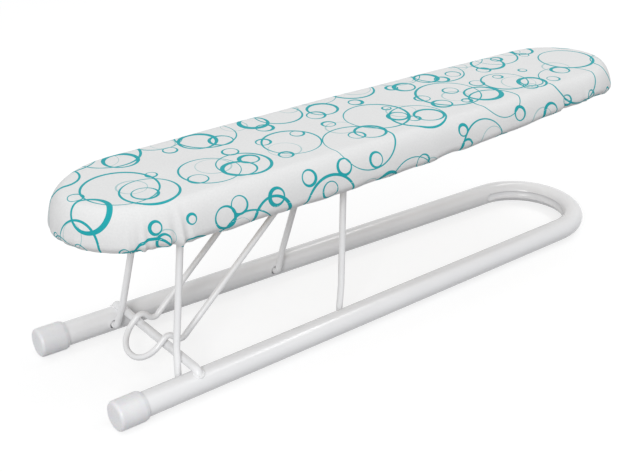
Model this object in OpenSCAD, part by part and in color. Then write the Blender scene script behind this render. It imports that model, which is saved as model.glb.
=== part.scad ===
// Table-top folding sleeve ironing board.
// The padded board stands on two bent-wire legs that turn in a U-shaped base tube. The legs lean back
// against a crossbar, and a wire brace under the board hooks over the same bar to lock them.
// Origin: on the floor, under the middle of the cover. +X runs towards the bend of the base.

/* [Base tube] */
// Outside diameter of the base tube
tube_d = 18; // [15:0.5:20]
// Wall thickness of the base tube
tube_wall = 1.2; // [0.8:0.1:2]
// Distance between the tube axes at the open ends
foot_spacing = 116.2; // [108:0.2:126]
// Distance from the open ends to the centre of the bend
bend_x = 442.6; // [410:0.2:470]
// Radius of the bend at the tube axis
bend_r = 46.4; // [42:0.2:52]
// Depth of the crease that bending leaves on the inside of the bend
crease_depth = 3; // [1:0.5:4]
// Radius of the crease in section
crease_r = 3.5; // [2.5:0.5:5]

/* [End caps] */
// Length of an end cap
cap_length = 21.6; // [16:0.2:30]
// Wall thickness of a cap round the tube
cap_wall = 1.85; // [1:0.05:2.5]
// Thickness of a cap's closed end
cap_end = 3; // [2:0.5:5]
// Rounding of the closed end
cap_round = 2.5; // [1:0.5:4]
// Width of the lip at a cap's open end
lip_width = 1.8; // [1:0.2:3]
// Step down from the cap's wall to that lip
lip_drop = 0.7; // [0.3:0.1:0.9]
// Radial gap between cap and tube
cap_fit = 0.05; // [0.05:0.05:0.2]

/* [Crossbar] */
// Diameter of the crossbar
bar_d = 6.5; // [5.5:0.5:7]
// Height of the bar's axis over the crest of the tubes
bar_lift = 1.7; // [1:0.1:3]
// Radius of the bar's bent-down ends
bar_bend = 5; // [4:0.5:6]
// How far beyond the tube axes the bar's ends come down
bar_overhang = 2.5; // [0:0.5:3]

/* [Legs] */
// Diameter of the leg wire
leg_d = 5; // [4:0.5:6]
// Lean of the legs from vertical, towards the bend
leg_lean = 10; // [8:0.5:12]
// Distance from the open ends to the front leg's holes
front_leg_x = 58; // [52:0.5:62]
// Distance from the open ends to the rear leg's holes
rear_leg_x = 203.6; // [190:0.2:220]
// Half the width of the front leg at its top
front_top = 26.4; // [23:0.2:28]
// Half the width of the rear leg at its top
rear_top = 19.4; // [19:0.2:23]
// Half the width of either leg at the knee over its feet
knee_half = 38; // [36:0.5:39]
// Height of the knee along the leg
knee_h = 21; // [16:1:26]
// Distance from the tube's wall to the upright of a foot
foot_gap = 3.6; // [3.2:0.2:5]
// Bend radius at a leg's feet
foot_bend = 4; // [3.5:0.5:5]
// Bend radius at the top corners of a leg
top_bend = 8; // [6:0.5:9]
// Radial play of the leg wire in its holes
hole_play = 0.8; // [0.4:0.1:0.9]

/* [Brace] */
// Diameter of the brace wire
brace_d = 4.5; // [4:0.5:5]
// Distance from the open ends to the brace's pivot
brace_x = 190; // [182:1:194]
// Half the distance between the brace's arms
brace_half = 19; // [17:0.5:20]
// Height of the hook's upper corner over the bar's axis
hook_top = 10.7; // [10:0.1:12]
// Height of the hook, from its lower to its upper corner
hook_rise = 9.9; // [9:0.1:11]
// Slope of the hook's back over the horizontal
hook_slope = 44; // [40:1:46]
// Bend radius of the hook's corners
hook_bend = 5.2; // [4.5:0.1:6]
// Length of the handle loop, from the hook's upper corner
handle_length = 28; // [27:0.5:30]
// Slope of the handle below the horizontal
handle_slope = 43; // [38:1:48]
// Gap between the two ends of the brace wire at the pivot
brace_split = 3; // [2:0.5:4]

/* [Board] */
// Length of the covered board
cover_length = 524.6; // [500:0.2:540]
// How far the cover reaches past the base's open ends
cover_overhang = 1.8; // [0:0.2:12]
// Height of the ironing surface over the floor
board_top = 146.8; // [138:0.1:155]
// Half the width of the board at its broad end
broad_half = 56.8; // [54:0.1:62]
// Half the width of the board at its narrow end
narrow_half = 53; // [44:0.1:56]
// How far the long sides swell out between the two ends
side_swell = 2; // [0.5:0.5:3]
// Length of the rounded broad end
broad_round = 75; // [65:1:115]
// Length of the rounded narrow end
narrow_round = 66; // [38:1:80]
// Thickness of the wooden panel
panel_t = 10; // [8:0.5:12]
// Thickness of the foam pad
foam_t = 7; // [5:0.5:10]
// Thickness of the cotton cover
cover_t = 1; // [0.8:0.1:1.4]
// How far the hem hangs below the panel
skirt_drop = 10.4; // [6:0.2:13]
// How far the elastic pulls the hem in
hem_pull = 3.5; // [2:0.5:6]
// How far the padded edge rounds in from the skirt to the flat top
edge_run = 13.5; // [8:0.5:16]
// Width of the elastic in the hem
elastic_w = 5; // [3:0.5:6]
// Thickness of that elastic
elastic_t = 0.9; // [0.6:0.1:1.2]

/* [Clips] */
// Width of a wire clip
clip_w = 10; // [8:0.5:11]
// Distance of a clip's middle from the board's centre line
clip_y = 7.2; // [6.8:0.1:7.5]
// Thickness of the clip's steel
clip_t = 1.2; // [1:0.1:1.5]
// Length of each flange of a clip
flange = 9; // [8:0.5:10]
// Diameter of the clip screws
screw_d = 3; // [2.5:0.1:3.5]
// Length of a screw under its head
screw_l = 9; // [6:0.5:9]
// Diameter of a screw head
head_d = 6; // [5:0.5:6.5]
// Height of a screw head
head_h = 2; // [1.6:0.1:2.4]
// Running gap between wires and clips, and between pieces that rest on each other
play = 0.3; // [0.2:0.05:0.4]

/* [Hidden] */
$fn = 48;
slack = 0.04;
lap = 0.1;

// Base: the two tubes run straight from the open ends and touch the bend's circle at tube_taper.
cap_d = tube_d + 2 * (cap_fit + cap_wall);
axis_z = cap_d / 2;
end_x = cover_overhang - cover_length / 2;
bend_reach = sqrt(pow(foot_spacing / 2, 2) + pow(bend_x, 2));
tube_taper = acos(bend_r / bend_reach) - atan2(bend_x, foot_spacing / 2);
straight_l = sqrt(pow(bend_reach, 2) - pow(bend_r, 2));
crease_at = bend_r - tube_d / 2 + crease_depth - crease_r;
crease_dimple = 1.1;
function tube_y(from_end) = foot_spacing / 2 - from_end * tan(tube_taper);
function inner_wall_y(from_end) = tube_y(from_end) - tube_d / 2 / cos(tube_taper);

// Board: levels from the ironing surface down, and the wires just under the panel.
foam_top = board_top - cover_t;
panel_top = foam_top - foam_t;
panel_under = panel_top - panel_t;
hem_z = panel_under - skirt_drop;
widest_z = hem_z + elastic_w;
leg_pivot_z = panel_under - play - leg_d / 2;
brace_pivot_z = panel_under - play - brace_d / 2;
leg_length = (leg_pivot_z - axis_z) / cos(leg_lean);
leg_shift = (leg_pivot_z - axis_z) * tan(leg_lean);

// Crossbar: just over the tube crests, where the leaning front leg rests against it.
bar_z = axis_z + tube_d / 2 + bar_lift;
bar_from_end = front_leg_x + (bar_z - axis_z) * tan(leg_lean) + ((bar_d + leg_d) / 2 + play) / cos(leg_lean);

// Brace: hook corners over and behind the bar.
crest_z = bar_z + hook_top;
kink_z = crest_z - hook_rise;
kink_x = bar_from_end + hook_rise / tan(hook_slope);
handle_x = bar_from_end - handle_length * cos(handle_slope);
handle_z = crest_z - handle_length * sin(handle_slope);

// A round bar along the line points, with a bend of radius bends[i] at each inner point i. The bends are
// thinner by slack and each straight run laps over them, so that no two faces only touch.
function unit(v) = v / norm(v);
function turn_at(p, i) = acos(unit(p[i] - p[i - 1]) * unit(p[i + 1] - p[i]));
function set_back(p, bends, i) =
    i == 0 || i == len(p) - 1 ? 0 : bends[i] * tan(turn_at(p, i) / 2);
function placed(x, y, z, at) = [[x[0], y[0], z[0], at[0]], [x[1], y[1], z[1], at[1]],
                                [x[2], y[2], z[2], at[2]], [0, 0, 0, 1]];
function square_to(v) = unit(cross(v, abs(v[1]) < 0.9 ? [0, 1, 0] : [1, 0, 0]));

module straight_run(from, to, d) {
    along = unit(to - from);
    side = square_to(along);
    multmatrix(placed(side, cross(along, side), along, from))
        cylinder(d = d, h = norm(to - from));
}

module bend_run(before, corner, after, r, d) {
    into = unit(corner - before);
    out = unit(after - corner);
    turn = acos(into * out);
    normal = unit(cross(into, out));
    inward = cross(normal, into);
    centre = corner - into * r * tan(turn / 2) + inward * r;
    multmatrix(placed(-inward, into, normal, centre))
        rotate_extrude(angle = turn) translate([r, 0]) circle(d = d - 2 * slack);
}

module rod(points, bends, d) {
    last = len(points) - 1;
    for (i = [0 : last - 1]) {
        along = unit(points[i + 1] - points[i]);
        from = points[i] + along * (set_back(points, bends, i) - (i == 0 ? 0 : lap));
        to = points[i + 1] - along * (set_back(points, bends, i + 1) - (i == last - 1 ? 0 : lap));
        straight_run(from, to, d);
    }
    for (i = [1 : last - 1])
        bend_run(points[i - 1], points[i], points[i + 1], bends[i], d);
}

// Places children along a tube: their +Z runs from the open end towards the bend. side is -1 or 1.
module on_tube(side) {
    translate([end_x, side * foot_spacing / 2, axis_z])
        rotate([0, 0, -side * tube_taper]) rotate([0, 90, 0]) children();
}

module tube_run(d, start) {
    for (side = [-1, 1])
        on_tube(side) translate([0, 0, start]) cylinder(d = d, h = straight_l + lap - start);
    translate([end_x + bend_x, 0, axis_z]) rotate([0, 0, tube_taper - 90])
        rotate_extrude(angle = 180 - 2 * tube_taper) translate([bend_r, 0]) circle(d = d - 2 * slack);
}

module crease(r) {
    translate([end_x + bend_x, 0, axis_z]) rotate([0, 0, tube_taper - 90]) {
        rotate_extrude(angle = 180 - 2 * tube_taper) translate([crease_at, 0]) circle(r = r);
        for (turned = [0, 180 - 2 * tube_taper])
            rotate([0, 0, turned]) translate([crease_at, 0, 0]) sphere(r = crease_dimple * r);
    }
}

module base_tube() color("whitesmoke") difference() {
    tube_run(tube_d, cap_end + cap_fit);
    difference() {
        tube_run(tube_d - 2 * tube_wall, cap_end);
        crease(crease_r + tube_wall);
    }
    crease(crease_r);
    for (side = [-1, 1], from_end = [front_leg_x, rear_leg_x])
        translate([end_x + from_end, side * tube_y(from_end), axis_z])
            rotate([side * 90, 0, 0]) cylinder(d = leg_d + 2 * hole_play, h = tube_d);
}

module end_cap(side) color("white") on_tube(side) rotate_extrude() difference() {
    union() {
        translate([0, cap_round]) square([cap_d / 2, cap_length - lip_width - cap_round]);
        square([cap_d / 2 - cap_round, cap_length]);
        translate([cap_d / 2 - cap_round, cap_round]) circle(r = cap_round);
        translate([0, cap_round]) square([cap_d / 2 - lip_drop, cap_length - cap_round]);
    }
    translate([0, cap_end]) square([tube_d / 2 + cap_fit, cap_length]);
    translate([-tube_d, 0]) square([tube_d, cap_length]);
}
module end_cap_near() end_cap(-1);
module end_cap_far() end_cap(1);

module crossbar() color("whitesmoke") difference() {
    bar_y = tube_y(bar_from_end) + bar_overhang;
    x = end_x + bar_from_end;
    bar_end = axis_z + tube_d / 6;
    rod([[x, -bar_y, bar_end], [x, -bar_y, bar_z], [x, bar_y, bar_z], [x, bar_y, bar_end]],
        [0, bar_bend, bar_bend, 0], bar_d);
    for (side = [-1, 1])
        on_tube(side) cylinder(d = tube_d, h = bar_from_end + tube_d);
}

// An inverted U of wire whose feet turn out into the holes of the base tube.
module leg(from_end, top_half) {
    wall = inner_wall_y(from_end);
    foot = wall - foot_gap;
    pin_end = wall + tube_d / 2;
    translate([end_x + from_end, 0, axis_z]) rotate([0, leg_lean, 0])
        rod([[0, -pin_end, 0], [0, -foot, 0], [0, -knee_half, knee_h], [0, -top_half, leg_length],
             [0, top_half, leg_length], [0, knee_half, knee_h], [0, foot, 0], [0, pin_end, 0]],
            [0, foot_bend, 2 * top_bend, top_bend, top_bend, 2 * top_bend, foot_bend, 0], leg_d);
}
module front_leg() color("white") leg(front_leg_x, front_top);
module rear_leg() color("white") leg(rear_leg_x, rear_top);

// One wire: it starts at the pivot, runs down an arm, hooks over the bar, loops round as the handle
// and comes back the same way.
module brace() color("white") {
    half_split = brace_split / 2;
    way_down = [[brace_x, half_split, brace_pivot_z], [brace_x, brace_half, brace_pivot_z],
                [kink_x, brace_half, kink_z], [bar_from_end, brace_half, crest_z],
                [handle_x, brace_half, handle_z]];
    corners = [0, 1.2 * brace_d, hook_bend, hook_bend, 0.95 * brace_half];
    last = len(way_down) - 1;
    translate([end_x, 0, 0]) rod(
        concat(way_down, [for (i = [last : -1 : 0]) [way_down[i][0], -way_down[i][1], way_down[i][2]]]),
        concat(corners, [for (i = [last : -1 : 0]) corners[i]]), brace_d);
}

// Plan of the board, set in from the cover's edge: two half ellipses joined by sides that taper and
// swell a little.
broad_x = broad_round - cover_length / 2;
narrow_x = cover_length / 2 - narrow_round;
function side_point(t, side, inset) = [broad_x + (narrow_x - broad_x) * t,
    side * (broad_half + (narrow_half - broad_half) * t + side_swell * sin(180 * t) - inset)];
function board_plan(inset) = concat(
    [for (a = [90 : 6 : 270]) [broad_x + (broad_round - inset) * cos(a), (broad_half - inset) * sin(a)]],
    [for (t = [0.2 : 0.2 : 0.8]) side_point(t, -1, inset)],
    [for (a = [-90 : 9 : 90]) [narrow_x + (narrow_round - inset) * cos(a), (narrow_half - inset) * sin(a)]],
    [for (t = [0.8 : -0.2 : 0.2]) side_point(t, 1, inset)]);

// A solid through rings of the board's plan, each given as [inset, height], from the bottom up.
module board_form(rings) {
    n = len(board_plan(0));
    last = len(rings) - 1;
    polyhedron(
        points = [for (ring = rings, p = board_plan(ring[0])) [p[0], p[1], ring[1]]],
        faces = concat([[for (i = [0 : n - 1]) i]], [[for (i = [n - 1 : -1 : 0]) last * n + i]],
            [for (k = [0 : last - 1], i = [0 : n - 1])
                [k * n + i, (k + 1) * n + i, (k + 1) * n + (i + 1) % n, k * n + (i + 1) % n]]),
        convexity = 4);
}

// The padded edge is a quarter ellipse from the skirt's widest level up to the flat top. Its rings are
// [inset, height]; those of the pad stop at the panel's top.
function edge_in(drop, fall) = edge_run * (1 - sqrt(1 - pow(1 - drop / fall, 2)));
function edge_rings(inset, top, drops) =
    [for (drop = drops) [inset + edge_in(drop, top - widest_z), top - drop]];
pad_drops = [for (share = [1, 0.5, 0.18, 0.04, 0]) share * foam_t];
function skirt_drops(top) = concat([top - widest_z, (top - widest_z + foam_t) / 2], pad_drops);
pad_inset = cover_t + play + edge_in(foam_t, foam_top - widest_z);

function pivot_spots() = [for (from_end = [front_leg_x + leg_shift, brace_x, rear_leg_x + leg_shift])
    end_x + from_end];
screw_x = leg_d / 2 + play + clip_t + flange / 2;
module at_screws(x) {
    for (side = [-1, 1], way = [-1, 1])
        translate([x + way * screw_x, side * clip_y, panel_under - clip_t]) children();
}

module board_panel() color("burlywood") difference() {
    translate([0, 0, panel_under]) linear_extrude(panel_t) polygon(board_plan(pad_inset));
    for (x = pivot_spots())
        at_screws(x) cylinder(d = screw_d + 2 * cap_fit, h = screw_l + play);
}

module foam_pad() color("lightgray") board_form(edge_rings(cover_t + play, foam_top, pad_drops));

module cover() color("white") difference() {
    board_form(concat([[hem_pull, hem_z]], edge_rings(0, board_top, skirt_drops(board_top))));
    board_form(concat([[hem_pull + cover_t, hem_z - slack]],
        edge_rings(cover_t, foam_top, skirt_drops(foam_top))));
}

module hem_elastic() color("gainsboro") {
    inset = hem_pull * (1 - cover_t / elastic_w) + cover_t + play;
    translate([0, 0, hem_z + cover_t]) linear_extrude(elastic_w - cover_t) difference() {
        polygon(board_plan(inset));
        polygon(board_plan(inset + elastic_t));
    }
}

// A pressed steel saddle that holds a wire of diameter wire_d up against the panel.
module wire_clip(x, side, wire_d) color("silver")
    translate([x, side * clip_y + clip_w / 2, panel_under]) rotate([90, 0, 0]) difference() {
        inner = wire_d / 2 + play;
        reach = screw_x + flange / 2;
        linear_extrude(clip_w) difference() {
            union() {
                translate([0, -inner]) circle(r = inner + clip_t);
                translate([-inner - clip_t, -inner]) square([2 * (inner + clip_t), inner]);
                translate([-reach, -clip_t]) square([2 * reach, clip_t]);
            }
            translate([0, -inner]) circle(r = inner);
            translate([-inner, -inner]) square([2 * inner, inner + clip_t]);
            translate([-reach, 0]) square([2 * reach, 2 * clip_t]);
        }
        for (way = [-1, 1])
            translate([way * screw_x, slack, clip_w / 2]) rotate([90, 0, 0])
                cylinder(d = screw_d + 2 * play, h = clip_t + 2 * slack);
    }
module front_clip_near() wire_clip(pivot_spots()[0], -1, leg_d);
module front_clip_far() wire_clip(pivot_spots()[0], 1, leg_d);
module brace_clip_near() wire_clip(pivot_spots()[1], -1, brace_d);
module brace_clip_far() wire_clip(pivot_spots()[1], 1, brace_d);
module rear_clip_near() wire_clip(pivot_spots()[2], -1, leg_d);
module rear_clip_far() wire_clip(pivot_spots()[2], 1, leg_d);

// Pan-head screws, four to a pair of clips.
module clip_screws(x) color("silver") at_screws(x) rotate_extrude() {
    square([screw_d / 2, screw_l]);
    intersection() {
        translate([0, -head_h]) square([head_d / 2, head_h]);
        translate([0, head_d - head_h]) circle(r = head_d);
    }
}
module front_clip_screws() clip_screws(pivot_spots()[0]);
module brace_clip_screws() clip_screws(pivot_spots()[1]);
module rear_clip_screws() clip_screws(pivot_spots()[2]);

base_tube();
end_cap_near();
end_cap_far();
crossbar();
front_leg();
rear_leg();
brace();
board_panel();
foam_pad();
cover();
hem_elastic();
front_clip_near();
front_clip_far();
brace_clip_near();
brace_clip_far();
rear_clip_near();
rear_clip_far();
front_clip_screws();
brace_clip_screws();
rear_clip_screws();
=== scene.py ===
"""Looks of a table-top sleeve ironing board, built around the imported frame. Metres, floor at Z 0."""

import math

import bpy
import numpy as np
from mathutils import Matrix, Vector
from mathutils.geometry import delaunay_2d_cdt


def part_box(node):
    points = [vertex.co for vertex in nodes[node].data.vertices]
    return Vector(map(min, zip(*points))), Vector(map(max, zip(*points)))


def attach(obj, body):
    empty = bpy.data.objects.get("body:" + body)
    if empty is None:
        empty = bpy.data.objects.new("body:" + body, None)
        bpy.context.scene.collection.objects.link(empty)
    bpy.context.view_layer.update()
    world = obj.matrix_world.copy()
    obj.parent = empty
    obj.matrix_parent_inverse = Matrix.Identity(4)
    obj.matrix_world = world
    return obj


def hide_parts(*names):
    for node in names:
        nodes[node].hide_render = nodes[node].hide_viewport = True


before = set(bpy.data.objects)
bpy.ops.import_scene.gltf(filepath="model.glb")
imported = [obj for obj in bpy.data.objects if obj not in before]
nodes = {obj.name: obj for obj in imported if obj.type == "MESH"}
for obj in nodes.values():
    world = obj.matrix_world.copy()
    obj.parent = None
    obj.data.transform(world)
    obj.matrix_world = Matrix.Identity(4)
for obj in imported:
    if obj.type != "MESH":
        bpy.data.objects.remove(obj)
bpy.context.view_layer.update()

# ---------------------------------------------------------------------------------------------
# Camera: a long lens beyond the board's broad end and to its near side. It looks down at the board
# from a little under half a metre above the floor.
camera_place = (-0.5417, -0.6474, 0.4634)
camera_turn = (63.461, 0.175, -37.351)
lens_mm = 67.04
sensor_mm = 36.0

camera_data = bpy.data.cameras.new("camera")
camera_data.sensor_width = sensor_mm
camera_data.lens = lens_mm
camera = bpy.data.objects.new("camera", camera_data)
camera.location = camera_place
camera.rotation_euler = [math.radians(turn) for turn in camera_turn]
bpy.context.scene.collection.objects.link(camera)
bpy.context.scene.camera = camera


# ---------------------------------------------------------------------------------------------
# Base tube: one length of thin steel tube bent into a U, creased on the inside of its bend and
# drilled for the legs' feet. It is powder-coated white after welding, with a fine orange peel.


# The classes below put together the nodes of this finish and of all that follow.
class Value:
    """An output of a node tree. Arithmetic on it adds Math nodes, so a finish reads as a formula."""

    def __init__(self, graph, socket):
        self.graph = graph
        self.socket = socket

    def math(self, operation, *others, clamp=False):
        """What a Math node makes of this value and the others, which may be numbers."""
        made = self.graph.node("ShaderNodeMath", [self, *others], operation=operation, use_clamp=clamp)
        return made["Value"]

    def __add__(self, other):
        return self.math("ADD", other)

    def __sub__(self, other):
        return self.math("SUBTRACT", other)

    def __mul__(self, other):
        return self.math("MULTIPLY", other)

    def __truediv__(self, other):
        return self.math("DIVIDE", other)


class Outputs:
    """A node's outputs, found by name among those that are in use, or by number."""

    def __init__(self, graph, made):
        self.graph = graph
        self.made = made

    def __getitem__(self, key):
        return Value(self.graph, pick(self.made.outputs, key))


def pick(sockets, key):
    """The socket with that number, or the socket in use with that name."""
    if isinstance(key, int):
        return sockets[key]
    return next(socket for socket in sockets if socket.name == key and socket.enabled)


class Graph:
    """A node tree under construction."""

    def __init__(self, tree):
        self.tree = tree

    def node(self, kind, sockets=(), **settings):
        """Adds a node, makes its settings, then links or sets its inputs, given by name or in order."""
        made = self.tree.nodes.new(kind)
        for name, value in settings.items():
            if name == "stops":
                set_stops(made.color_ramp, value)
            else:
                setattr(made, name, value)
        pairs = sockets.items() if isinstance(sockets, dict) else enumerate(sockets)
        for key, value in pairs:
            if isinstance(value, Value):
                self.tree.links.new(value.socket, pick(made.inputs, key))
            else:
                pick(made.inputs, key).default_value = value
        return Outputs(self, made)


def set_stops(ramp, stops):
    """Gives a colour ramp its stops, each a place and a colour."""
    while len(ramp.elements) < len(stops):
        ramp.elements.new(1.0)
    for element, (place, colour) in zip(ramp.elements, stops):
        element.position = place
        element.color = colour


class Finish(Graph):
    """A material: a Principled surface whose colour, roughness and bump are worked out by nodes."""

    def __init__(self, name):
        self.material = bpy.data.materials.new(name)
        self.material.use_nodes = True
        super().__init__(self.material.node_tree)
        self.tree.nodes.clear()

    def place(self):
        """Where a point of the piece lies, in metres."""
        return self.node("ShaderNodeTexCoord")["Object"]

    def cloth_place(self):
        """Where a point lies on the cloth as it was cut, in metres."""
        return self.node("ShaderNodeUVMap", uv_map="cut")["UV"]

    def noise(self, place, size, detail=2.0, roughness=0.5):
        """Noise from 0 to 1, whose lumps are about size across."""
        sockets = {"Vector": place, "Scale": 1 / size, "Detail": detail, "Roughness": roughness}
        return self.node("ShaderNodeTexNoise", sockets)["Fac"]

    def spread(self, value, low, high):
        """Takes noise, which stays near 0.5, to low .. high."""
        sockets = {"Value": value, "From Min": 0.3, "From Max": 0.7, "To Min": low, "To Max": high}
        return self.node("ShaderNodeMapRange", sockets, clamp=True)["Result"]

    def blend(self, share, first, second):
        """A colour between first and second."""
        sockets = {"Factor": share, "A": first, "B": second}
        return self.node("ShaderNodeMix", sockets, data_type="RGBA")["Result"]

    def mottled(self, noise, first, second):
        """A colour that wanders from first to second with noise."""
        return self.blend(self.spread(noise, 0.0, 1.0), first, second)

    def bump(self, height, depth, strength):
        """The normals of a surface whose height runs from 0 to 1 over that depth."""
        sockets = {"Height": height, "Distance": depth, "Strength": strength}
        return self.node("ShaderNodeBump", sockets)["Normal"]

    def surface(self, sockets):
        """Puts the material together and gives it back."""
        shader = self.node("ShaderNodeBsdfPrincipled", sockets)["BSDF"]
        self.node("ShaderNodeOutputMaterial", {"Surface": shader})
        return self.material


def powder_coat(name, pale, shaded, dullness):
    """Baked powder paint of about that roughness: orange peel, and a faint drift in tone and shine."""
    finish = Finish(name)
    place = finish.place()
    peel = finish.noise(place, 0.0011, detail=2.0)
    drift = finish.noise(place, 0.035, detail=3.0)
    speck = finish.noise(place, 0.0004, detail=1.0)
    colour = finish.mottled(drift, pale, shaded)
    roughness = finish.spread(drift, dullness - 0.03, dullness + 0.03) + speck * 0.05
    return finish.surface({
        "Base Color": colour,
        "Roughness": roughness,
        "Normal": finish.bump(peel, 0.00006, 0.6),
    })


def dress(names, material):
    """Gives CAD nodes their material."""
    for name in names:
        for slot in nodes[name].material_slots:
            slot.material = material


tube_white = powder_coat("tube_white", (0.90, 0.90, 0.905, 1), (0.87, 0.87, 0.88, 1), 0.15)
dress(["base_tube"], tube_white)

# ---------------------------------------------------------------------------------------------
# End caps: moulded white plastic, pushed over the open ends of the tube. They are less glossy than
# the paint, and have the faint waviness of a thick moulding.
plastic = Finish("cap_white")
place = plastic.place()
sink = plastic.noise(place, 0.009, detail=1.0)
haze = plastic.noise(place, 0.0012, detail=3.0)
cap_white = plastic.surface({
    "Base Color": plastic.mottled(sink, (0.84, 0.84, 0.85, 1), (0.81, 0.81, 0.83, 1)),
    "Roughness": plastic.spread(haze, 0.26, 0.36),
    "Normal": plastic.bump(sink + haze * 0.05, 0.0002, 0.5),
    "Subsurface Weight": 0.08,
    "Subsurface Scale": 0.002,
})
dress(["end_cap_near", "end_cap_far"], cap_white)

# ---------------------------------------------------------------------------------------------
# Crossbar and its welds: a steel rod with bent-down ends, welded onto the tubes' crests. The weld
# is a rippled bead round each end, painted over with the rest of the base.
dress(["crossbar"], tube_white)

tube_low, tube_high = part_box("base_tube")
bar_low, bar_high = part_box("crossbar")
tube_radius = (tube_high.z - tube_low.z) / 2
tube_axis_z = (tube_high.z + tube_low.z) / 2
bar_radius = (bar_high.x - bar_low.x) / 2
bar_x = (bar_high.x + bar_low.x) / 2
bar_end_y = bar_high.y - bar_radius
bar_overhang = 0.0025
bead_radius = 0.0011
bead_turns = 64
bead_sides = 12
coarse_ripple = 0.12
coarse_count = 11
fine_ripple = 0.06
fine_count = 23


def join_rings(rings, count, closed=False):
    """The faces between rings of count points each, numbered in order."""
    faces = []
    for ring in range(rings if closed else rings - 1):
        here = ring * count
        there = (ring + 1) % rings * count
        for point in range(count):
            after = (point + 1) % count
            faces.append((here + point, there + point, there + after, here + after))
    return faces


def flip(faces):
    """The same faces, turned inside out."""
    return [face[::-1] for face in faces]


def renumber(faces, start, kept=0):
    """The same faces with other numbers: point kept becomes start, and so on. Those before it stay."""
    return [tuple(v if v < kept else v - kept + start for v in face) for face in faces]


def add_piece(name, points, faces, material, smooth=True, edges=()):
    """A mesh object at the origin, with its place in its points."""
    mesh = bpy.data.meshes.new(name)
    mesh.from_pydata([tuple(point) for point in points], edges, faces)
    mesh.materials.append(material)
    mesh.polygons.foreach_set("use_smooth", [smooth] * len(mesh.polygons))
    mesh.update()
    piece = bpy.data.objects.new(name, mesh)
    bpy.context.scene.collection.objects.link(piece)
    return piece


def weld_bead(side):
    """Points of one bead: a small ring swept round the bar's end where it meets the tube."""
    points = []
    for turn in range(bead_turns):
        angle = 2 * math.pi * turn / bead_turns
        outward = Vector((math.cos(angle), math.sin(angle), 0))
        over_tube = bar_radius * math.sin(angle) + side * bar_overhang
        crest = math.sqrt(tube_radius**2 - over_tube**2)
        centre = Vector((bar_x, side * bar_end_y, tube_axis_z + crest)) + outward * bar_radius
        ripple = 1 + coarse_ripple * math.sin(coarse_count * angle)
        ripple += fine_ripple * math.sin(fine_count * angle + side)
        for step in range(bead_sides):
            around = 2 * math.pi * step / bead_sides
            lift = Vector((0, 0, 1)) * math.sin(around) + outward * math.cos(around)
            points.append(centre + lift * bead_radius * ripple)
    return points


bead_faces = flip(join_rings(bead_turns, bead_sides, closed=True))
welds = add_piece(
    "bar_welds",
    weld_bead(-1) + weld_bead(1),
    bead_faces + renumber(bead_faces, bead_turns * bead_sides),
    tube_white,
)
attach(welds, "base")

# ---------------------------------------------------------------------------------------------
# Legs and brace: steel wire bent cold and powder-coated. The paint is a little less glossy than on
# the tube, and its tone is more even.
wire_white = powder_coat("wire_white", (0.90, 0.90, 0.905, 1), (0.88, 0.88, 0.885, 1), 0.24)
dress(["front_leg", "rear_leg", "brace"], wire_white)

# ---------------------------------------------------------------------------------------------
# Board panel: chipboard cut to the board's plan. Pressed wood flakes of several tones show on its
# underside, under a thin coat of sealer.
board = Finish("chipboard")
place = board.place()
flake_size = 0.0032
flakes = board.node("ShaderNodeTexVoronoi", {"Vector": place, "Scale": 1 / flake_size, "Randomness": 1.0})
fibres = board.noise(place, 0.0006, detail=4.0, roughness=0.7)
clouds = board.noise(place, 0.03, detail=2.0)
flake_tone = board.node("ShaderNodeSeparateColor", {"Color": flakes["Color"]})["Red"]
tone = flake_tone * 0.55 + fibres * 0.3 + clouds * 0.25
ramp = board.node("ShaderNodeValToRGB", {"Fac": tone}, stops=[
    (0.15, (0.30, 0.18, 0.09, 1)),
    (0.45, (0.52, 0.36, 0.20, 1)),
    (0.70, (0.66, 0.50, 0.31, 1)),
    (0.95, (0.76, 0.62, 0.43, 1)),
])
chipboard = board.surface({
    "Base Color": ramp["Color"],
    "Roughness": board.spread(fibres, 0.55, 0.8),
    "Normal": board.bump(flake_tone * 0.6 + fibres * 0.4, 0.0002, 0.5),
})
dress(["board_panel"], chipboard)

# ---------------------------------------------------------------------------------------------
# Clips: zinc-plated steel saddles that hold the legs' and the brace's wire under the panel. The
# strip is rolled, so faint lines run along it, and the plating has a cool mottled shine.
zinc = Finish("zinc_plate")
place = zinc.place()
rolled = zinc.node("ShaderNodeMapping", {"Vector": place, "Scale": (0.06, 1.0, 1.0)})["Vector"]
lines = zinc.noise(rolled, 0.00035, detail=3.0)
mottle = zinc.noise(place, 0.003, detail=2.0)
zinc_plate = zinc.surface({
    "Base Color": zinc.mottled(mottle, (0.60, 0.61, 0.64, 1), (0.68, 0.68, 0.67, 1)),
    "Roughness": zinc.spread(mottle, 0.28, 0.42) + lines * 0.1,
    "Normal": zinc.bump(lines, 0.00003, 0.5),
    "Metallic": 1.0,
})
clip_wires = ("front", "brace", "rear")
dress([f"{wire}_clip_{side}" for wire in clip_wires for side in ("near", "far")], zinc_plate)

# ---------------------------------------------------------------------------------------------
# Clip screws: zinc-plated chipboard screws with a round head and a cross recess, four to a pair
# of clips. Each was driven home at its own angle.
screw_groups = [f"{wire}_clip_screws" for wire in clip_wires]
head_radius = 0.003
head_height = 0.002
shank_radius = 0.0015
shank_length = 0.009
recess_width = 0.0008
recess_reach = 0.0034
recess_depth = 0.0012
shank_taper = 0.7
shank_start = 0.00005
cutter_size = 0.02
turn_seed = 4


def screw_places():
    """Where each screw's head sits, from the corners of its group's box."""
    places = []
    for group in screw_groups:
        low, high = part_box(group)
        for x in (low.x + head_radius, high.x - head_radius):
            for y in (low.y + head_radius, high.y - head_radius):
                places.append((x, y, low.z + head_height))
    return places


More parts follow.
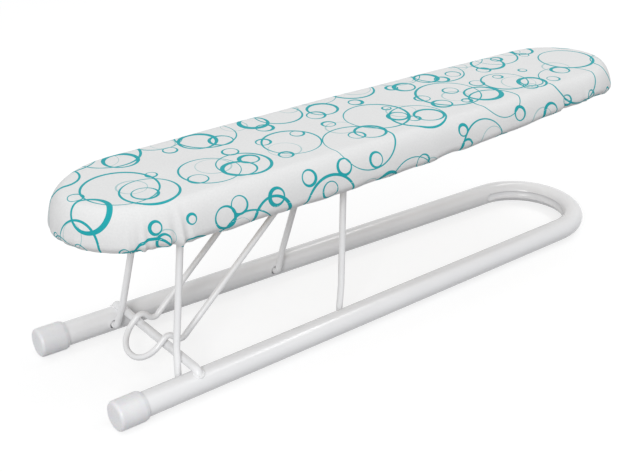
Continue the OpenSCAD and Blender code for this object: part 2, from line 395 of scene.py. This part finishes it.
def new_tree(name, inputs):
    """A geometry node tree with a mesh and named sizes coming in, and a mesh going out."""
    tree = bpy.data.node_groups.new(name, "GeometryNodeTree")
    tree.interface.new_socket("Geometry", in_out="INPUT", socket_type="NodeSocketGeometry")
    for label in inputs:
        tree.interface.new_socket(label, in_out="INPUT", socket_type="NodeSocketFloat")
    tree.interface.new_socket("Geometry", in_out="OUTPUT", socket_type="NodeSocketGeometry")
    return Graph(tree)


def grow(piece, graph, sizes):
    """Runs a tree on a piece with the sizes given by name, and keeps the result as its mesh."""
    modifier = piece.modifiers.new(graph.tree.name, "NODES")
    modifier.node_group = graph.tree
    for item in graph.tree.interface.items_tree:
        if item.in_out == "INPUT" and item.name in sizes:
            modifier[item.identifier] = sizes[item.name]
    evaluated = piece.evaluated_get(bpy.context.evaluated_depsgraph_get())
    mesh = bpy.data.meshes.new_from_object(evaluated)
    piece.modifiers.clear()
    piece.data = mesh


def spell(graph, x, y, z):
    """A vector put together from three values or numbers."""
    return graph.node("ShaderNodeCombineXYZ", [x, y, z])["Vector"]


screw_sizes = {
    "Head Radius": head_radius,
    "Head Height": head_height,
    "Shank Radius": shank_radius,
    "Shank Length": shank_length,
    "Recess Width": recess_width,
    "Recess Reach": recess_reach,
    "Recess Depth": recess_depth,
}
screw = new_tree("clip_screw", screw_sizes)
given = screw.node("NodeGroupInput")
ball = screw.node("GeometryNodeMeshUVSphere", {"Segments": 28, "Rings": 16, "Radius": 1.0})["Mesh"]
dome = screw.node("GeometryNodeTransform", {
    "Geometry": ball,
    "Scale": spell(screw, given["Head Radius"], given["Head Radius"], given["Head Height"]),
})["Geometry"]
cutter_block = (cutter_size, cutter_size, cutter_size)
upper_half = screw.node("GeometryNodeTransform", {
    "Geometry": screw.node("GeometryNodeMeshCube", {"Size": cutter_block})["Mesh"],
    "Translation": (0.0, 0.0, cutter_size / 2),
})["Geometry"]
slots = []
for size in (
    spell(screw, given["Recess Reach"], given["Recess Width"], given["Recess Depth"] * 2),
    spell(screw, given["Recess Width"], given["Recess Reach"], given["Recess Depth"] * 2),
):
    slots.append(screw.node("GeometryNodeTransform", {
        "Geometry": screw.node("GeometryNodeMeshCube", {"Size": size})["Mesh"],
        "Translation": spell(screw, 0.0, 0.0, given["Head Height"] * -1),
    })["Geometry"])
head = dome
for cutter in [upper_half, *slots]:
    parts = {"Mesh 1": head, "Mesh 2": cutter}
    head = screw.node("GeometryNodeMeshBoolean", parts, operation="DIFFERENCE")["Mesh"]
shank = screw.node("GeometryNodeTransform", {
    "Geometry": screw.node("GeometryNodeMeshCone", {
        "Vertices": 20,
        "Radius Top": given["Shank Radius"] * shank_taper,
        "Radius Bottom": given["Shank Radius"],
        "Depth": given["Shank Length"],
    })["Mesh"],
    "Translation": (0.0, 0.0, shank_start),
})["Geometry"]
whole = screw.node("GeometryNodeJoinGeometry")
screw.tree.links.new(head.socket, whole.made.inputs["Geometry"])
screw.tree.links.new(shank.socket, whole.made.inputs["Geometry"])
quarter = {"Min": 0.0, "Max": math.pi / 2, "Seed": turn_seed}
driven = screw.node("FunctionNodeRandomValue", quarter, data_type="FLOAT")
placed = screw.node("GeometryNodeInstanceOnPoints", {
    "Points": given["Geometry"],
    "Instance": whole["Geometry"],
    "Rotation": spell(screw, 0.0, 0.0, driven["Value"]),
})["Instances"]
loose = screw.node("GeometryNodeRealizeInstances", {"Geometry": placed})["Geometry"]
finished = screw.node("GeometryNodeSetMaterial", {"Geometry": loose, "Material": zinc_plate})["Geometry"]
screw.node("NodeGroupOutput", {"Geometry": finished})

screws = add_piece("clip_screws", screw_places(), [], zinc_plate)
grow(screws, screw, screw_sizes)
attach(screws, "board")
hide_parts(*screw_groups)

# ---------------------------------------------------------------------------------------------
# Foam pad: open-cell foam cut to the panel's plan, with its upper edge rounded by the cover that
# is pulled down over it. It lies hidden between the cover and the panel.
cover_low, cover_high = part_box("cover")
pad_low, pad_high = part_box("foam_pad")
panel_low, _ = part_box("board_panel")
half_length = cover_high.x
board_top = cover_high.z
broad_half = 0.0563
narrow_half = 0.0523
side_swell = 0.0028
broad_round = 0.070
narrow_round = 0.061
edge_run = 0.0138
edge_fall = 0.026
plan_softening = 0.006
arc_samples = 600
side_samples = 400
border_share = 0.6
merge_distance = 1e-7


def board_plan(count):
    """Points evenly spaced round the board's plan, anticlockwise, the directions outward from them,
    how far round each one lies, and the length of the whole way round."""
    turn = np.linspace(-math.pi / 2, math.pi / 2, arc_samples)
    along = np.linspace(0, 1, side_samples)[1:-1]
    broad_x = broad_round - half_length
    narrow_x = half_length - narrow_round
    narrow = [narrow_x + narrow_round * np.cos(turn), narrow_half * np.sin(turn)]
    broad = [broad_x - broad_round * np.cos(turn), -broad_half * np.sin(turn)]
    width = narrow_half + (broad_half - narrow_half) * along + side_swell * np.sin(math.pi * along)
    far = [narrow_x + (broad_x - narrow_x) * along, width]
    near = [far[0][::-1], -width[::-1]]
    loop = np.concatenate([np.stack(side, 1) for side in (narrow, far, broad, near)])
    loop = np.concatenate([loop, loop[:1]])
    gone = np.concatenate([[0], np.cumsum(np.linalg.norm(np.diff(loop, axis=0), axis=1))])
    stops = np.linspace(0, gone[-1], count, endpoint=False)
    points = np.stack([np.interp(stops, gone, loop[:, axis]) for axis in (0, 1)], 1)
    softened = round(plan_softening * count / gone[-1])
    points = sum(np.roll(points, k, 0) for k in range(-softened, softened + 1)) / (2 * softened + 1)
    tangent = np.roll(points, -1, 0) - np.roll(points, 1, 0)
    tangent /= np.linalg.norm(tangent, axis=1)[:, None]
    return points, np.stack([tangent[:, 1], -tangent[:, 0]], 1), stops, gone[-1]


def edge_inset(drop):
    """How far the padded edge lies in from the plan, at a drop below the ironing surface."""
    rise = np.clip(1 - drop / edge_fall, 0, 1)
    return edge_run * (1 - np.sqrt(1 - rise * rise))


def fill_plan(ring, spacing):
    """New points inside a ring of plan points, and the triangles that join the ring and them."""
    low, high = ring.min(0), ring.max(0)
    rows = np.arange(low[1], high[1], spacing * math.sqrt(3) / 2)
    inner = []
    for row, y in enumerate(rows):
        for x in np.arange(low[0] + (row % 2) * spacing / 2, high[0], spacing):
            inner.append((x, y))
    inner = np.array(inner)
    edges = np.roll(ring, -1, 0) - ring
    normals = np.stack([edges[:, 1], -edges[:, 0]], 1) / np.linalg.norm(edges, axis=1)[:, None]
    depth = -((inner[:, None, :] - ring[None]) * normals[None]).sum(2).max(1)
    inner = inner[depth > spacing * border_share]
    every = [Vector(p) for p in np.concatenate([ring, inner])]
    border = [(i, (i + 1) % len(ring)) for i in range(len(ring))]
    points, _, faces, *_ = delaunay_2d_cdt(every, border, [], 1, merge_distance)
    return np.array([tuple(p) for p in points])[len(ring):], faces


foam = Finish("pad_foam")
place = foam.place()
cell_size = 0.0011
cells = foam.node(
    "ShaderNodeTexVoronoi",
    {"Vector": place, "Scale": 1 / cell_size},
    feature="DISTANCE_TO_EDGE",
)
age = foam.noise(place, 0.02, detail=2.0)
pad_foam = foam.surface({
    "Base Color": foam.mottled(age, (0.80, 0.79, 0.74, 1), (0.74, 0.73, 0.69, 1)),
    "Roughness": 0.95,
    "Normal": foam.bump(cells["Distance"], 0.0004, 0.7),
})

pad_ring = 360
pad_steps = 12
pad_clear = 0.0013
pad_undercut = 0.004
panel_gap = 0.0001
crown_gap = 0.0003
top_spacing = 0.008
under_spacing = 0.012
pad_points, pad_out, _, _ = board_plan(pad_ring)
pad_bottom = pad_low.z + panel_gap
pad_crown = pad_high.z - crown_gap
pad_levels = [(edge_inset(board_top - pad_bottom) + pad_undercut, pad_bottom)]
for step in range(pad_steps):
    share = step / (pad_steps - 1)
    height = pad_bottom + (pad_crown - pad_bottom) * (1 - (1 - share) ** 2)
    pad_levels.append((edge_inset(board_top - height) + pad_clear, height))
pad_rings = [
    np.column_stack([pad_points - pad_out * inset, np.full(pad_ring, height)])
    for inset, height in pad_levels
]
pad_top, pad_faces = fill_plan(pad_rings[-1][:, :2], top_spacing)
pad_under, under_faces = fill_plan(pad_rings[0][:, :2], under_spacing)
top_start = (len(pad_levels) - 1) * pad_ring
under_start = len(pad_levels) * pad_ring + len(pad_top)
pad = add_piece(
    "foam_padding",
    np.concatenate([
        *pad_rings,
        np.column_stack([pad_top, np.full(len(pad_top), pad_crown)]),
        np.column_stack([pad_under, np.full(len(pad_under), pad_bottom)]),
    ]),
    flip(join_rings(len(pad_levels), pad_ring))
    + renumber(pad_faces, top_start)
    + renumber(flip(under_faces), under_start, kept=pad_ring),
    pad_foam,
)
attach(pad, "board")
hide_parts("foam_pad")

# ---------------------------------------------------------------------------------------------
# Cover: white printed cotton, cut with a margin, pulled over the pad and gathered under the
# board's edge by an elastic in its turned-up hem. Rings are printed on it in teal, bold and faint.
cover_ring = 980
cloth = 0.0005
hem_z = cover_low.z
hem_rise = 0.0078
hem_tuck = 0.0030
tuck_height = 0.005
hem_turn = 0.0008
casing = 0.0075
casing_least = 0.0012
casing_clear = 0.0008
skirt_steps = 26
skirt_crowding = 1.6
turn_steps = 4
casing_steps = 5
cloth_spacing = 0.0042
folds_seed = 11


def smooth_step(value, low, high):
    """0 up to low and 1 from high on, with an even rise between."""
    share = np.clip((value - low) / (high - low), 0, 1)
    return share * share * (3 - 2 * share)


def waves(count, shortest, longest):
    """A sum of waves that closes round the hem, with wavelengths between shortest and longest."""
    total = np.zeros_like(stops)
    for _ in range(count):
        turns = round(around / random.uniform(shortest, longest))
        total += np.sin(2 * math.pi * turns * stops / around + random.uniform(0, 2 * math.pi))
    return total / math.sqrt(count)


def fold_at(x, width):
    """1 along one upright fold at a place x on the near side, and 0 away from it."""
    gap = (plan[:, 0] - x) / width
    return np.exp(-gap * gap) * (plan[:, 1] < 0)


plan, outward, stops, around = board_plan(cover_ring)
random = np.random.default_rng(folds_seed)

# The elastic gathers the hem into puckers, and longer folds run up from it. Both stand out more
# round the ends than along the calm middle of the sides.
calm_x = 0.03
calm_from = 0.13
calm_to = 0.24
pucker_pitch = 0.012
pucker_drift = 1.9
pucker_softness = 0.04
pucker_middle = 0.6
pucker_mean = 0.55
pucker_swing = 0.25
least_gathers = 0.35
least_folds = 0.45
tight = smooth_step(np.abs(plan[:, 0] - calm_x), calm_from, calm_to)
drift = waves(4, shortest=0.09, longest=0.3)
phase = math.pi * stops / around * round(around / pucker_pitch) + pucker_drift * drift
puckers = np.sqrt(pucker_softness + np.sin(phase) ** 2) - pucker_middle
pucker_size = pucker_mean + pucker_swing * waves(3, shortest=0.05, longest=0.12)
gathers = puckers * pucker_size * (least_gathers + (1 - least_gathers) * tight)
long_folds = waves(6, shortest=0.022, longest=0.06) * (least_folds + (1 - least_folds) * tight)
hem_waves = waves(5, shortest=0.03, longest=0.09)

# Single folds on the near side: where each one runs, how wide it is, and how far it stands out.
creases = (
    (-0.1995, 0.0015, 0.0026),
    (-0.1950, 0.0022, -0.0021),
    (-0.2035, 0.0020, -0.0019),
    (-0.2080, 0.0018, 0.0010),
    (-0.2215, 0.0014, -0.0012),
    (-0.2240, 0.0014, 0.0020),
    (-0.2270, 0.0016, -0.0013),
    (-0.2330, 0.0016, 0.0012),
    (0.1655, 0.0034, 0.0004),
    (0.1700, 0.0018, -0.0024),
    (0.1935, 0.0022, -0.0009),
    (0.1970, 0.0030, 0.0006),
)
pulls = sum(push * fold_at(x, width) for x, width, push in creases)

# Round the broad tip the long folds are drawn flatter.
tip_from = 0.235
tip_to = 0.255
tip_calm = 0.6
broad_tip = smooth_step(-plan[:, 0], tip_from, tip_to)
long_folds *= 1 - tip_calm * broad_tip

# The hem rises towards the narrow end, hangs in a small tongue near the broad end, and is drawn up
# once more over a stretch before the narrow end, which starts and ends gently.
rise_from = -0.10
rise_to = 0.25
hem_ripple = 0.0006
tongue_x = -0.1985
tongue_width = 0.0035
tongue_drop = 0.0008
drawn_up = 0.0019
drawn_start = (0.130, 0.178)
drawn_end = (0.195, 0.240)
drawn = smooth_step(plan[:, 0], *drawn_start) * smooth_step(-plan[:, 0], -drawn_end[1], -drawn_end[0])
hem_height = hem_z + hem_rise * smooth_step(plan[:, 0], rise_from, rise_to) + hem_ripple * hem_waves
hem_height -= tongue_drop * fold_at(tongue_x, tongue_width)
hem_height += drawn_up * drawn
depth = board_top - hem_height

gather_depth = 0.0014
gather_fade = 3
fold_depth = 0.0009
fold_fade = 1.6
crease_fade = 1.3


def lean_in(drop):
    """The sheet's inset from the plan without its folds: the padded edge, and the tuck of the hem."""
    tucked = np.clip((drop - depth + tuck_height) / tuck_height, 0, 1)
    return edge_inset(drop) + hem_tuck * tucked**2


def cover_at(drop):
    """The sheet at a drop below the top, all the way round: how far it stands out, and its height."""
    share = drop / depth
    folds = gather_depth * gathers * share**gather_fade + fold_depth * long_folds * share**fold_fade
    folds += pulls * share**crease_fade
    return folds - lean_in(drop), board_top - drop


rings = []
flats = []
for step in range(skirt_steps + 1):
    drop = depth * (step / skirt_steps) ** skirt_crowding
    if step == 0:
        flats.append(np.full(cover_ring, -edge_run))
    else:
        flats.append(flats[-1] + np.hypot(lean_in(drop) - lean_in(last_drop), drop - last_drop))
    rings.append(cover_at(drop))
    last_drop = drop
hem_out, _ = cover_at(depth)
hem_flat = flats[-1]
for step in range(1, turn_steps + 1):
    angle = math.pi * step / turn_steps
    rings.append((hem_out - hem_turn * (1 - math.cos(angle)), hem_height - hem_turn * math.sin(angle)))
    flats.append(hem_flat + hem_turn * angle)
casing_height = np.clip(panel_low.z - casing_clear - hem_height, casing_least, casing)
for step in range(1, casing_steps + 1):
    rings.append((hem_out - 2 * hem_turn, hem_height + casing_height * step / casing_steps))
    flats.append(hem_flat + hem_turn * math.pi + casing * step / casing_steps)

cover_points = [np.column_stack([plan + outward * out[:, None], height]) for out, height in rings]
cover_flat = [plan + outward * flat[:, None] for flat in flats]
top_points, top_faces = fill_plan(cover_points[0][:, :2], cloth_spacing)
first_top = len(rings) * cover_ring
cover_points.append(np.column_stack([top_points, np.full(len(top_points), board_top)]))
all_points = np.concatenate(cover_points)
all_flat = np.concatenate([*cover_flat, top_points])

# The top isn't quite flat: low swells, given in radians per metre, run over it.
swell_height = 0.00015
swell_along = 61
swell_across = 47
swell_bend = 2
top_layer = 0.002
swells = np.sin(all_points[:, 0] * swell_along + swell_bend * np.sin(all_points[:, 1] * swell_across))
all_points[:, 2] += swell_height * swells * (all_points[:, 2] > board_top - top_layer)


def vector_math(finish, operation, *operands):
    """The outputs of a Vector Math node."""
    return finish.node("ShaderNodeVectorMath", operands, operation=operation)


# The last two are factors that make further random numbers out of a cell's third one.
cell_looseness = 0.25
line_swell = 0.42
ink_edge = 0.00012
many_turns = 60.0
another_draw = 7.0


def printed_rings(finish, cloth_place, cell, shift, sizes, lines, share):
    """Rings of ink, one at most in each cell of a loose grid: their sizes and lines vary, and each
    line swells on one side."""
    moved = vector_math(finish, "ADD", cloth_place, (*shift, 0.0))["Vector"]
    grid = finish.node(
        "ShaderNodeTexVoronoi",
        {"Vector": moved, "Scale": 1 / cell, "Randomness": cell_looseness},
        voronoi_dimensions="2D",
    )
    offset = vector_math(finish, "SUBTRACT", moved, grid["Position"])["Vector"]
    lot = finish.node("ShaderNodeSeparateColor", {"Color": grid["Color"]})
    radius = lot["Red"] * (sizes[1] - sizes[0]) + sizes[0]
    line = lot["Green"] * (lines[1] - lines[0]) + lines[0]
    swing = lot["Blue"] * many_turns
    lean_x = swing.math("COSINE") * line * line_swell
    lean_y = swing.math("SINE") * line * line_swell
    lean = spell(finish, lean_x, lean_y, 0.0)
    outer = vector_math(finish, "LENGTH", offset)["Value"]
    inner = vector_math(finish, "DISTANCE", offset, lean)["Value"]
    inside = ((radius - outer) / ink_edge).math("ADD", 0.5, clamp=True)
    hollow = ((inner - radius + line) / ink_edge).math("ADD", 0.5, clamp=True)
    chosen = (lot["Blue"] * another_draw).math("FRACT").math("LESS_THAN", share)
    return inside * hollow * chosen


cotton = Finish("printed_cotton")
cloth_place = cotton.cloth_place()

# Sets of rings: the cell of the grid, its shift, the radii, the widths of the line, and the share of
# cells that carry a ring, which is over 1 where all of them do.
ring_sets = (
    (0.074, (0.013, 0.021), (0.0190, 0.0270), (0.0010, 0.0018), 1.1),
    (0.076, (0.055, 0.347), (0.0190, 0.0285), (0.0010, 0.0017), 1.1),
    (0.058, (0.431, 0.090), (0.0110, 0.0175), (0.0020, 0.0036), 0.75),
    (0.045, (0.217, 0.613), (0.0060, 0.0105), (0.0012, 0.0026), 0.7),
    (0.030, (0.821, 0.154), (0.0040, 0.0070), (0.0010, 0.0020), 0.45),
)
faint_set = (0.058, (0.333, 0.777), (0.0070, 0.0150), (0.0007, 0.0011), 0.9)
faint_strength = 0.75
prints = [printed_rings(cotton, cloth_place, *ring_set) for ring_set in ring_sets]
faint = printed_rings(cotton, cloth_place, *faint_set)
ink = prints[0]
for ring_print in prints[1:]:
    ink = ink.math("MAXIMUM", ring_print)
thread = 0.00042
warp_weft = cotton.node("ShaderNodeSeparateXYZ", {"Vector": cloth_place})
warp = (warp_weft["X"] * (math.pi / thread)).math("SINE")
weft = (warp_weft["Y"] * (math.pi / thread)).math("SINE")
slub = cotton.noise(cloth_place, 0.0015, detail=3.0)
crumple = cotton.noise(cloth_place, 0.022, detail=3.0)
relief = warp * weft * 0.5 + slub * 0.6 + crumple * 8.0
white = cotton.mottled(slub, (0.825, 0.823, 0.818, 1), (0.785, 0.785, 0.782, 1))
teal = cotton.mottled(slub, (0.001, 0.350, 0.390, 1), (0.006, 0.400, 0.435, 1))
pale_teal = (0.33, 0.56, 0.57, 1)
dyed = cotton.blend(ink, cotton.blend(faint * faint_strength, white, pale_teal), teal)
printed_cotton = cotton.surface({
    "Base Color": dyed,
    "Roughness": cotton.spread(slub, 0.80, 0.90),
    "Normal": cotton.bump(relief, 0.00012, 0.55),
    "Sheen Weight": 0.03,
    "Sheen Roughness": 0.5,
})
lining = Finish("cotton_wrong_side")
lining_slub = lining.noise(lining.cloth_place(), 0.0015, detail=3.0)
cotton_inside = lining.surface({
    "Base Color": lining.mottled(lining_slub, (0.78, 0.79, 0.79, 1), (0.72, 0.75, 0.75, 1)),
    "Roughness": 0.88,
    "Normal": lining.bump(lining_slub, 0.00012, 0.5),
})

cover = add_piece(
    "cotton_cover",
    all_points,
    join_rings(len(rings), cover_ring) + renumber(top_faces, first_top, kept=cover_ring),
    printed_cotton,
)
cover.data.materials.append(cotton_inside)
cut = cover.data.uv_layers.new(name="cut")
corners = np.zeros(len(cover.data.loops), int)
cover.data.loops.foreach_get("vertex_index", corners)
cut.data.foreach_set("uv", all_flat[corners].ravel())
wall = cover.modifiers.new("cloth", "SOLIDIFY")
wall.thickness = cloth
wall.offset = -1.0
wall.material_offset = 1

# ---------------------------------------------------------------------------------------------
# Elastic: a woven rubber tape inside the casing. It is short for the way round and was stretched as
# it was sewn in, so it draws the hem together.
tape_gap = 0.0002
tape_half = 0.0003
tape_low = 0.0006
tape_top = 0.0055
tape_play = 0.0004
tape_inset = hem_turn + tape_gap
tape_high = np.minimum(tape_top, casing_height - tape_play)
tape_corners = (
    (tape_half, tape_low),
    (-tape_half, tape_low),
    (-tape_half, tape_high),
    (tape_half, tape_high),
)
tape_rings = [
    np.column_stack([plan + outward * (hem_out - tape_inset + across)[:, None], hem_height + up])
    for across, up in tape_corners
]
rubber = Finish("woven_elastic")
place = rubber.place()
ribs = rubber.node("ShaderNodeMapping", {"Vector": place, "Scale": (0.1, 0.1, 1.0)})["Vector"]
rib = rubber.noise(ribs, 0.0006, detail=1.0)
woven_elastic = rubber.surface({
    "Base Color": rubber.mottled(rib, (0.78, 0.78, 0.77, 1), (0.66, 0.66, 0.66, 1)),
    "Roughness": 0.8,
    "Normal": rubber.bump(rib, 0.0002, 0.8),
})
tape_faces = join_rings(len(tape_corners), cover_ring, closed=True)
tape = add_piece("hem_tape", np.concatenate(tape_rings), tape_faces, woven_elastic)
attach(tape, "board")
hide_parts("hem_elastic")

# ---------------------------------------------------------------------------------------------
# Stitches: a line of lockstitch in white thread that closes the casing, all the way round. With it
# the sheet is whole, so the area and size of the cover's cut are worked out here, and the cover is
# attached to the board.
stitch_length = 0.0019
stitch_pitch = 0.0026
thread_radius = 0.00011
seam_above_hem = 0.0068
seam_proud = 0.00005
seam_out, seam_height = cover_at(depth - seam_above_hem)
seam_line = np.column_stack([plan + outward * (seam_out + seam_proud)[:, None], seam_height])
seam_edges = [(i, (i + 1) % cover_ring) for i in range(cover_ring)]
stitch_sizes = {"Pitch": stitch_pitch, "Length": stitch_length, "Thread": thread_radius}
stitch = new_tree("hem_stitches", stitch_sizes)
given = stitch.node("NodeGroupInput")
bead = stitch.node("GeometryNodeMeshUVSphere", {"Segments": 6, "Rings": 5, "Radius": 1.0})["Mesh"]
strand = stitch.node("GeometryNodeTransform", {
    "Geometry": bead,
    "Scale": spell(stitch, given["Thread"], given["Thread"], given["Length"] * 0.5),
})["Geometry"]
path = stitch.node("GeometryNodeMeshToCurve", {"Mesh": given["Geometry"]})["Curve"]
spacing = {"Curve": path, "Length": given["Pitch"]}
spots = stitch.node("GeometryNodeCurveToPoints", spacing, mode="LENGTH")
sewn = stitch.node("GeometryNodeInstanceOnPoints", {
    "Points": spots["Points"],
    "Instance": strand,
    "Rotation": spots["Rotation"],
})["Instances"]
loose = stitch.node("GeometryNodeRealizeInstances", {"Geometry": sewn})["Geometry"]
smooth = stitch.node("GeometryNodeSetShadeSmooth", {"Geometry": loose})["Geometry"]
cotton_thread = Finish("cotton_thread")
place = cotton_thread.place()
twist = cotton_thread.noise(place, 0.0002, detail=1.0)
white_thread = cotton_thread.surface({
    "Base Color": cotton_thread.blend(twist, (0.82, 0.82, 0.82, 1), (0.74, 0.74, 0.75, 1)),
    "Roughness": 0.7,
    "Normal": cotton_thread.bump(twist, 0.00005, 0.5),
})
coated = {"Geometry": smooth, "Material": white_thread}
finished = stitch.node("GeometryNodeSetMaterial", coated)["Geometry"]
stitch.node("NodeGroupOutput", {"Geometry": finished})

seam = add_piece("hem_stitches", seam_line, [], white_thread, edges=seam_edges)
grow(seam, stitch, stitch_sizes)
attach(seam, "board")

cut_edge = cover_flat[-1]
cut_next = np.roll(cut_edge, -1, 0)
cut_area = 0.5 * abs((cut_edge[:, 0] * cut_next[:, 1] - cut_edge[:, 1] * cut_next[:, 0]).sum())
cut_size = cut_edge.max(0) - cut_edge.min(0)
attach(cover, "board")
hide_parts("cover")

# ---------------------------------------------------------------------------------------------
# Floor and light: a plain pale floor that runs out of view, a long lamp overhead that draws a
# bright line on the tubes, a square one from the front, and an even sky. The floor shows white and
# keeps the board's shadow.
floor_half = 6.0
floor_bounce = (0.27, 0.27, 0.28, 1)
floor_shown = (0.34, 0.34, 0.34, 1)
floor_misted = (0.33, 0.33, 0.33, 1)
mist_share = 0.02
floor_glow = 0.73
plain_white = (1, 1, 1, 1)
sky_light = 0.64
sky_tint = (0.98, 0.99, 1.0, 1)


def seen_directly(graph):
    """1 on rays from the camera, also by reflection or through glass, and 0 on those that give light."""
    ray = graph.node("ShaderNodeLightPath")
    seen = ray["Is Camera Ray"].math("MAXIMUM", ray["Is Glossy Ray"])
    return seen.math("MAXIMUM", ray["Is Transmission Ray"])


ground = Finish("pale_floor")
place = ground.place()
mist = ground.noise(place, 0.4, detail=2.0)
shown_colour = ground.blend(mist * mist_share, floor_shown, floor_misted)
lit = ground.node("ShaderNodeBsdfDiffuse", {"Color": shown_colour})
glow = ground.node("ShaderNodeEmission", {"Color": plain_white, "Strength": floor_glow})
shown = ground.node("ShaderNodeAddShader", [lit["BSDF"], glow["Emission"]])["Shader"]
bounce = ground.node("ShaderNodeBsdfDiffuse", {"Color": floor_bounce})["BSDF"]
mixed = ground.node("ShaderNodeMixShader", [seen_directly(ground), bounce, shown])["Shader"]
ground.node("ShaderNodeOutputMaterial", {"Surface": mixed})
floor_corners = [
    (-floor_half, -floor_half, 0),
    (floor_half, -floor_half, 0),
    (floor_half, floor_half, 0),
    (-floor_half, floor_half, 0),
]
floor = add_piece("floor", floor_corners, [(0, 1, 2, 3)], ground.material, smooth=False)

world = bpy.data.worlds.new("studio")
world.use_nodes = True
bpy.context.scene.world = world
studio = Graph(world.node_tree)
studio.tree.nodes.clear()
sky = studio.node("ShaderNodeBackground", {"Color": sky_tint, "Strength": sky_light})
backdrop = studio.node("ShaderNodeBackground", {"Color": plain_white, "Strength": 1.0})
layers = [seen_directly(studio), sky["Background"], backdrop["Background"]]
both = studio.node("ShaderNodeMixShader", layers)["Shader"]
studio.node("ShaderNodeOutputWorld", {"Surface": both})


def add_lamp(name, place, target, length, width, power):
    """A soft lamp of that length and width, in metres, and power, in watts, which faces target."""
    light = bpy.data.lights.new(name, "AREA")
    light.shape = "RECTANGLE"
    light.size = length
    light.size_y = width
    light.energy = power
    lamp = bpy.data.objects.new(name, light)
    lamp.location = place
    lamp.rotation_euler = (Vector(target) - Vector(place)).to_track_quat("-Z", "Y").to_euler()
    bpy.context.scene.collection.objects.link(lamp)


board_centre = (0.0, 0.0, 0.08)
add_lamp("overhead", (0.9, -0.15, 1.5), board_centre, length=1.7, width=0.16, power=6.0)
add_lamp("front", (-1.4, -1.2, 0.9), board_centre, length=0.6, width=0.6, power=16.0)

bpy.context.scene.view_settings.view_transform = "Standard"
